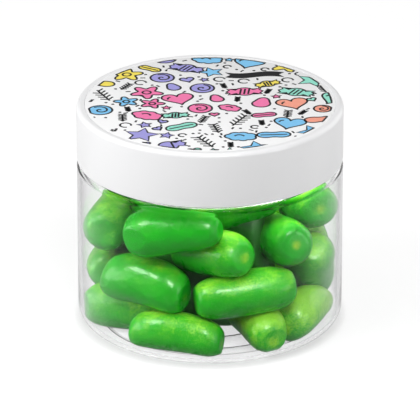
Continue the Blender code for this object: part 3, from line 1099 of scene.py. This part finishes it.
@dataclass
class Heap:
    """The candies in the jar: those seen at the front, and a settled rule for the rest."""

    jar: Jar
    length: float = 26.2
    radius: float = 6.3
    seed: int = 7
    back_layers: Tuple[float, ...] = (8.0, 20.5, 33.0)
    back_angles: Tuple[float, ...] = (118, 156, 196, 234)
    middle_heights: Tuple[float, ...] = (8.0, 20.0, 32.0)
    crown_height: float = 43.5
    crown_reach: float = 12.0
    crown_angles: Tuple[float, ...] = (190, 310)
    steps: int = 260
    settle: float = 0.04 * MM
    hold: float = 0.45
    pressed_share: float = 0.95
    floor_share: float = 0.86
    gap: float = 0.3 * MM
    clearance: float = 0.12 * MM
    shoulder_clear: float = 0.7 * MM
    shoulder_slope: float = 1.2
    segments: int = 56
    rings: int = 54
    lump_height: float = 0.9 * MM
    lump_size: float = 9.0 * MM
    grain_height: float = 0.18 * MM
    grain_size: float = 2.0 * MM
    seen_mobility: float = 0.08
    hurry: float = 1.4
    core_low: float = 1.6 * MM
    core_high: float = 42.0 * MM
    core_reach: float = 17.0 * MM
    core_blunt: float = 0.55
    core_foot: float = 0.22
    core_lump: float = 0.06

    def hidden(self, rng: np.random.Generator) -> List[Candy]:
        """The candies at the back, in the middle and on top."""
        rows: List[Tuple[float, ...]] = []
        reach = self.jar.inside / MM - self.radius - 2.0
        for layer, height in enumerate(self.back_layers):
            for angle in self.back_angles:
                azimuth = math.radians(angle + 18 * (layer % 2) + rng.uniform(-5, 5))
                heading = math.degrees(azimuth) + rng.uniform(-25, 25)
                rows.append((reach * math.sin(azimuth), -reach * math.cos(azimuth),
                             height + rng.uniform(-1, 1), heading, rng.uniform(-14, 14)))
        for height in self.middle_heights:
            rows.append((rng.uniform(-3, 3), rng.uniform(3, 8), height, rng.uniform(0, 180),
                         rng.uniform(-20, 20)))
        for angle in self.crown_angles:
            azimuth = math.radians(angle)
            rows.append((self.crown_reach * math.sin(azimuth),
                         -self.crown_reach * math.cos(azimuth),
                         self.crown_height, angle + rng.uniform(-40, 40), rng.uniform(-12, 12)))
        sizes = [(self.length + rng.uniform(-1, 1), self.radius + rng.uniform(-0.25, 0.25))
                 for _ in rows]
        looks = [(rng.uniform(-0.12, 0.12), rng.uniform(2.8, 3.7), rng.uniform(0.30, 0.60),
                  rng.uniform(0.0, 0.6)) for _ in rows]
        return [Candy(*row, *size, *look) for row, size, look in zip(rows, sizes, looks)]

    def push_apart(self, ends: np.ndarray, radii: np.ndarray, mobility: np.ndarray) -> None:
        """Move overlapping candies apart, each by its share of the overlap."""
        one, two = np.triu_indices(len(ends), 1)
        share_one, share_two = nearest_shares(ends[one], ends[two])
        near_one = ends[one, 0] + share_one[:, None] * (ends[one, 1] - ends[one, 0])
        near_two = ends[two, 0] + share_two[:, None] * (ends[two, 1] - ends[two, 0])
        between = near_one - near_two
        distance = np.maximum(np.linalg.norm(between, axis=1), 1e-6)
        touching = (radii[one] + radii[two]) * self.pressed_share
        overlap = np.maximum(touching - distance, 0.0)
        push = between / distance[:, None] * overlap[:, None]
        whole = mobility[one] + mobility[two]
        for index, share, sign in ((one, share_one, 0.5), (two, share_two, -0.5)):
            move = push * (sign * mobility[index] / whole)[:, None]
            np.add.at(ends, (index, 0), move * (1.0 - share)[:, None] * self.hurry)
            np.add.at(ends, (index, 1), move * share[:, None] * self.hurry)

    def keep_inside(self, ends: np.ndarray, radii: np.ndarray) -> None:
        """Bring every end back inside the wall and above the domed floor."""
        reach = (self.jar.inside - self.gap - radii * self.pressed_share)[:, None]
        out = np.hypot(ends[..., 0], ends[..., 1])
        shrink = np.minimum(1.0, reach / np.maximum(out, 1e-6))
        ends[..., 0] *= shrink
        ends[..., 1] *= shrink
        out *= shrink
        dome = self.jar.push_up * np.maximum(0.0, 1.0 - (out / self.jar.foot_inner) ** 2)
        lowest = self.jar.floor + self.gap + dome + radii[:, None] * self.floor_share
        ends[..., 2] = np.maximum(ends[..., 2], lowest)

    def settled(self) -> Tuple[np.ndarray, np.ndarray, List[Candy]]:
        """End centres and radii of all the candies in metres, and the candies themselves."""
        rng = np.random.default_rng(self.seed)
        candies = list(FRONT_CANDIES) + self.hidden(rng)
        ends = np.array([candy.ends() for candy in candies]) * MM
        radii = np.array([candy.radius for candy in candies]) * MM
        spans = np.linalg.norm(ends[:, 1] - ends[:, 0], axis=1)
        seen = np.arange(len(candies)) < len(FRONT_CANDIES)
        mobility = np.where(seen, self.seen_mobility, 1.0)
        home = ends[seen]
        for _ in range(self.steps):
            ends[~seen, :, 2] -= self.settle
            ends[seen] += self.hold * (home - ends[seen])
            self.push_apart(ends, radii, mobility)
            self.keep_inside(ends, radii)
            middle = ends.mean(axis=1, keepdims=True)
            axis = ends[:, 1:] - middle
            axis *= (spans / 2 / np.linalg.norm(axis[:, 0], axis=1))[:, None, None]
            ends = np.concatenate((middle - axis, middle + axis), axis=1)
        return ends, radii, candies

    def seeds(self) -> bpy.types.Mesh:
        """One point for each candy, with its lie and form as attributes."""
        ends, radii, candies = self.settled()
        rng = np.random.default_rng(self.seed + 1)
        middles = ends.mean(axis=1)
        axes = ends[:, 1] - ends[:, 0]
        lengths = np.linalg.norm(axes, axis=1)
        mesh = bpy.data.meshes.new("candy_seeds")
        mesh.from_pydata([tuple(point) for point in middles], [], [])
        store(mesh, "middle", middles)
        store(mesh, "axis", axes / lengths[:, None])
        store(mesh, "half", lengths / 2 + radii)
        store(mesh, "girth", radii)
        for trait in ("taper", "blunt", "shade", "heel"):
            store(mesh, trait, np.array([getattr(candy, trait) for candy in candies]))
        for trait, low, high in (("spin", 0.0, math.tau), ("bend", 0.0, 0.9 * MM),
                                 ("oval", -0.06, 0.06), ("dent", 0.1 * MM, 0.5 * MM)):
            store(mesh, trait, rng.uniform(low, high, len(candies)))
        return mesh

    def grow_group(self) -> NodeTree:
        """A geometry node group that grows a lumpy, blunt-ended candy on every point."""
        tree, given, result = new_group(
            "Grow candies", NodeKind.GEOMETRY,
            {"Geometry": Port.SHAPE, "Segments": Port.COUNT, "Rings": Port.COUNT,
             "Lump Height": Port.NUMBER, "Lump Size": Port.NUMBER,
             "Grain Height": Port.NUMBER, "Grain Size": Port.NUMBER,
             "Clearance": Port.NUMBER, "Material": Port.MATERIAL},
            {"Geometry": Port.SHAPE})
        ball = tree.add("GeometryNodeMeshUVSphere", {
            "Segments": given["Segments"], "Rings": given["Rings"], "Radius": 1.0})
        place = tree.add("GeometryNodeInputPosition").outputs[0]
        keep = "StoreNamedAttribute"
        marked = tree.chain(
            ball.outputs[0], Step(keep, {"Name": "unit", "Value": place}, "FLOAT_VECTOR"))
        local, tip = self._local_form(tree, given)
        kept = self._kept_inside(tree, self._placed_form(tree, local), given["Clearance"])
        # How far each point faces up, stored for the coat's painted top light and shade
        rise = tree.split(tree.add("GeometryNodeInputNormal").outputs[0])[2]
        tree.feed(result.inputs["Geometry"], tree.chain(
            given["Geometry"],
            Step("InstanceOnPoints", {"Instance": marked}),
            Step("RealizeInstances"),
            Step("SetPosition", {"Position": kept}),
            Step(keep, {"Name": "tip", "Value": tip}, "FLOAT"),
            Step(keep, {"Name": "painted_top_light", "Value": rise}, "FLOAT"),
            Step("SetShadeSmooth"),
            Step("SetMaterial", {"Material": given["Material"]})))
        return tree.tree

    def _local_form(self, tree: Tree, given: Mapping[str, Signal]) -> Tuple[Socket, Signal]:
        """The candy's surface along its own Z axis, and how far each point is from a tip."""
        unit_x, unit_y, unit_z = tree.split(named(tree, "unit", "FLOAT_VECTOR"))
        half, girth, blunt, taper, oval, bend_by, dent_by = (named(tree, name) for name in (
            "half", "girth", "blunt", "taper", "oval", "bend", "dent"))
        power = 2.0 / blunt
        along = unit_z.sign() * (unit_z.magnitude() ** power)
        ring = (unit_x * unit_x + unit_y * unit_y).root().at_least(1e-6)
        across = girth * ((ring ** power) * (1.0 - along * taper)) / ring
        bend = bend_by * (1.0 - along * along * 2.0)
        x = unit_x * across * (1.0 + oval) + bend
        y = unit_y * across * (1.0 - oval)
        dent = dent_by * (1.0 - ring.ramp(0.0, 0.42))
        z = along * half - unit_z.sign() * dent
        seat = tree.joined(x, y, z)
        outward = tree.vector("NORMALIZE", tree.joined(unit_x / girth, unit_y / girth,
                                                       unit_z / half))
        # Each candy reads the noise at a place of its own
        apart = tree.scaled(named(tree, "middle", "FLOAT_VECTOR"), 7.0)
        field_at = tree.vector("ADD", seat, apart)
        lumps = tree.noise(field_at, 1.0 / given["Lump Size"], 1.0, 0.4)
        grain = tree.noise(field_at, 1.0 / given["Grain Size"], 2.0, 0.5)
        lift = (lumps - 0.5) * given["Lump Height"] + (grain - 0.5) * given["Grain Height"]
        return tree.vector("ADD", seat, tree.scaled(outward, lift)), ring ** power

    def _placed_form(self, tree: Tree, local: Socket) -> Socket:
        """The candy's surface turned to its own lie and moved to its place."""
        spun = tree.add("ShaderNodeVectorRotate", {
            "Vector": local, "Angle": named(tree, "spin")}, rotation_type="Z_AXIS")
        lie = tree.add("FunctionNodeAlignRotationToVector", {
            "Vector": named(tree, "axis", "FLOAT_VECTOR")}, axis="Z")
        turned_form = tree.add("FunctionNodeRotateVector", {
            "Vector": spun.outputs[0], "Rotation": lie.outputs[0]})
        return tree.vector("ADD", turned_form.outputs[0], named(tree, "middle", "FLOAT_VECTOR"))

    def _kept_inside(self, tree: Tree, place: Socket, clearance: Signal) -> Socket:
        """A point pressed back where it would pass the jar's wall, shoulder or floor."""
        jar = self.jar
        x, y, z = tree.split(place)
        out = (x * x + y * y).root().at_least(MM)
        corner = jar.inner_corner
        rise = (z - (jar.floor + self.gap)).at_least(0.0).at_most(corner)
        drop = corner - rise
        bottom = (corner ** 2 - drop * drop).at_least(0.0).root() + (jar.inside - corner)
        neck_start = jar.shoulder_top - jar.shoulder_radius - self.shoulder_clear
        neck = (neck_start - z).at_least(0.0) * self.shoulder_slope + jar.neck_inside
        room = bottom.at_most(neck) - clearance
        shrink = (room / out).at_most(1.0)
        share = out / jar.foot_inner
        dome = (1.0 - share * share).at_least(0.0) * jar.push_up
        low = dome + (jar.floor + clearance)
        return tree.joined(x * shrink, y * shrink, z.at_least(low))

    def build(self, finish: Finish) -> Piece:
        """Grow all the candies as one piece."""
        return evaluated_piece("chewy_candies", self.seeds(), self.grow_group(), {
            "Segments": self.segments, "Rings": self.rings,
            "Lump Height": self.lump_height, "Lump Size": self.lump_size,
            "Grain Height": self.grain_height, "Grain Size": self.grain_size,
            "Clearance": self.clearance, "Material": finish})

    def build_core(self, finish: Finish) -> Piece:
        """A lumpy core that closes the view between the candies."""
        bm = bmesh.new()
        bmesh.ops.create_icosphere(bm, subdivisions=5, radius=1.0)
        middle, half = (self.core_low + self.core_high) / 2, (self.core_high - self.core_low) / 2
        for vert in bm.verts:
            bumps = sum(math.sin(k * vert.co.x + 1.7 * k) * math.cos(k * vert.co.y - k)
                        * math.sin(k * vert.co.z + 0.6) for k in (3, 5, 8)) * self.core_lump
            blunt = [math.copysign(abs(part) ** self.core_blunt, part) for part in vert.co]
            spread = self.core_reach * (1.0 + bumps) * (
                1.0 + self.core_foot * max(0.0, -vert.co.z))
            x, y = blunt[0] * spread, blunt[1] * spread
            height = middle + blunt[2] * half * (1.0 + bumps)
            ground = self.jar.floor + self.jar.dome(math.hypot(x, y)) + self.gap
            vert.co = Vector((x, y, max(height, ground)))
        return piece_from("candy_core", bm, finish)


def store(mesh: bpy.types.Mesh, name: str, values: np.ndarray) -> None:
    """Write numbers or vectors to a mesh's points as an attribute."""
    kind, key = ("FLOAT_VECTOR", "vector") if values.ndim == 2 else ("FLOAT", "value")
    attribute = mesh.attributes.new(name, kind, "POINT")
    attribute.data.foreach_set(key, values.astype(np.float32).ravel())


def named(tree: Tree, name: str, kind: str = "FLOAT") -> Signal:
    """Read an attribute in a geometry tree."""
    node = tree.add("GeometryNodeInputNamedAttribute", {"Name": name}, data_type=kind)
    return Signal(tree, next(socket for socket in node.outputs if socket.enabled))


def nearest_shares(first: np.ndarray, second: np.ndarray) -> Tuple[np.ndarray, np.ndarray]:
    """Where the axes of two sets of capsules are nearest.

    Args:
        first: end centres of one set, shaped (n, 2, 3).
        second: end centres of the other set.

    Returns:
        The nearest places as shares along each axis.
    """
    def dot(one: np.ndarray, two: np.ndarray) -> np.ndarray:
        return (one * two).sum(axis=1)
    along_a = first[:, 1] - first[:, 0]
    along_b = second[:, 1] - second[:, 0]
    between = first[:, 0] - second[:, 0]
    aa, bb, ab = dot(along_a, along_a), dot(along_b, along_b), dot(along_a, along_b)
    a_gap, b_gap = dot(along_a, between), dot(along_b, between)
    spread = np.maximum(aa * bb - ab * ab, 1e-12)
    share_a = np.clip((ab * b_gap - a_gap * bb) / spread, 0.0, 1.0)
    share_b = np.clip((ab * share_a + b_gap) / bb, 0.0, 1.0)
    share_a = np.clip((ab * share_b - a_gap) / aa, 0.0, 1.0)
    return share_a, share_b


# ----- Studio -----

@dataclass(frozen=True)
class Softbox:
    """A rectangular lamp that faces a point."""

    name: str
    place: Tuple[float, float, float]
    width: float
    height: float
    power: float
    aim: Tuple[float, float, float] = (0.0, 0.0, 0.03)
    mirrored: bool = True

    def build(self) -> None:
        """Hang the lamp."""
        lamp = bpy.data.lights.new(self.name, "AREA")
        lamp.shape = "RECTANGLE"
        lamp.size = self.width
        lamp.size_y = self.height
        lamp.energy = self.power
        item = linked(self.name, lamp)
        item.visible_glossy = self.mirrored
        item.location = self.place
        item.rotation_euler = (Vector(self.aim) - Vector(self.place)).to_track_quat(
            "-Z", "Y").to_euler()


@dataclass(frozen=True)
class Studio:
    """A pale floor, white surroundings, softboxes and the camera."""

    target: Tuple[float, float, float] = (0.0, 0.0, 30.1 * MM)
    distance: float = 1.391
    down: float = 23.4
    lens: float = 445.3
    floor_half: float = 4.0
    floor_grey: Color = (0.22, 0.22, 0.22)
    surround: float = 0.16
    floor_lift: float = 0.80
    mirror_loss: float = 0.22
    inner_mirror_loss: float = 0.62
    contact_reach: float = 3.0 * MM
    contact_share: float = 0.45
    lamps: Tuple[Softbox, ...] = (
        Softbox("softbox_key", (0.12, -0.60, 0.74), 0.25, 0.23, 3.8),
        Softbox("softbox_fill", (-0.55, -0.25, 0.74), 0.25, 0.22, 2.5),
        Softbox("softbox_top", (0.0, 0.30, 1.0), 0.8, 0.8, 1.0),
        # Stands for the daylight that comes down through the white lid
        Softbox("lid_glow", (8.0 * MM, -4.0 * MM, 58.6 * MM), 30.0 * MM, 30.0 * MM, 0.032,
                aim=(8.0 * MM, -4.0 * MM, 0.0), mirrored=False),
        Softbox("softbox_left", (-0.9, -0.10, 0.25), 0.8, 0.5, 5.8, mirrored=False),
        Softbox("softbox_right", (0.75, -0.50, 0.25), 0.40, 0.5, 2.0),
        Softbox("softbox_far_right", (0.75, 0.6, 0.30), 0.8, 0.7, 2.6),
    )

    def floor(self) -> None:
        """Lay the floor, which gives off light of its own.

        This counts in full for direct and refracted rays, less for mirrored ones and not for
        scattered ones. Near the foot it fades as a painted contact shadow, for rays that haven't
        passed the plastic.
        """
        bm = bmesh.new()
        bmesh.ops.create_grid(bm, x_segments=1, y_segments=1, size=self.floor_half)
        pale = Surface("pale_floor", {
            "Base Color": self.floor_grey, "Roughness": 0.8, "Emission Color": (1.0, 1.0, 1.0)})
        tree = pale.tree
        path = tree.add("ShaderNodeLightPath")
        scattered = tree.read(path, "Diffuse Depth").at_most(1.0)
        mirrored = tree.read(path, "Glossy Depth").at_most(1.0)
        through = tree.read(path, "Transmission Depth")
        inside = (through - 2.0).at_least(0.0).at_most(1.0)
        loss = inside * self.inner_mirror_loss + self.mirror_loss
        corner = tree.add("ShaderNodeAmbientOcclusion", {"Distance": self.contact_reach})
        closed = 1.0 - tree.read(corner, "AO")
        painted_contact_shadow = 1.0 - closed * (1.0 - through.at_most(1.0)) * self.contact_share
        direct = (1.0 - scattered) * (1.0 - mirrored * loss)
        pale.set("Emission Strength", direct * painted_contact_shadow * self.floor_lift)
        piece_from("studio_floor", bm, pale.material)

    def camera(self) -> None:
        """Set up the camera at the photo's angle."""
        data = bpy.data.cameras.new("camera")
        data.sensor_width = 36.0
        data.lens = self.lens
        data.clip_start = 0.05
        item = linked("camera", data)
        tilt = math.radians(self.down)
        item.location = Vector(self.target) + self.distance * Vector(
            (0.0, -math.cos(tilt), math.sin(tilt)))
        item.rotation_euler = (math.pi / 2 - tilt, 0.0, 0.0)
        bpy.context.scene.camera = item

    def build(self) -> None:
        """Set the stage."""
        world = bpy.data.worlds.new("studio")
        world.use_nodes = True
        backdrop = world.node_tree.nodes["Background"]
        backdrop.inputs["Color"].default_value = (1.0, 1.0, 1.0, 1.0)
        backdrop.inputs["Strength"].default_value = self.surround
        bpy.context.scene.world = world
        bpy.context.scene.view_settings.view_transform = "Standard"
        self.floor()
        self.camera()
        for lamp in self.lamps:
            lamp.build()


# ----- Assembly -----

def attach(piece: Piece, slot: str, *nodes: str) -> None:
    """Make a piece ride on the part, log its triangles and finish slot, and hide the CAD nodes it
    stands for.
    """
    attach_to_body(piece, BODY)
    if nodes:
        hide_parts(*nodes)
    piece.data.calc_loop_triangles()
    log.info("%s: %d triangles, %s", piece.name, len(piece.data.loop_triangles), slot)


def main() -> None:
    """Build every piece in order."""
    logging.basicConfig(level=logging.INFO, format="%(name)s: %(message)s")
    Studio().build()
    effects = Effects()
    jar, lid = Jar(), Lid()
    heap = Heap(jar)
    attach(heap.build(CandyCoat().build(effects)), "green_candy", "candies")
    attach(heap.build_core(CANDY_CORE_PAINTED_SHADE.build(effects)), "green_candy", "candies")
    attach(jar.build(ClearPlastic().build(effects)), "clear_plastic", "jar")
    attach(lid.build(LID_WHITE.build(effects)), "white_plastic", "lid")
    inks = {ink: print_ink(ink.name.lower(), ink.value).build(effects) for ink in Ink}
    for piece in Print(lid).build(FILM_WHITE.build(effects), inks):
        attach(piece, "printed_disc", *(["label"] if piece.name == "print_film" else []))


if __name__ == "__main__":
    main()
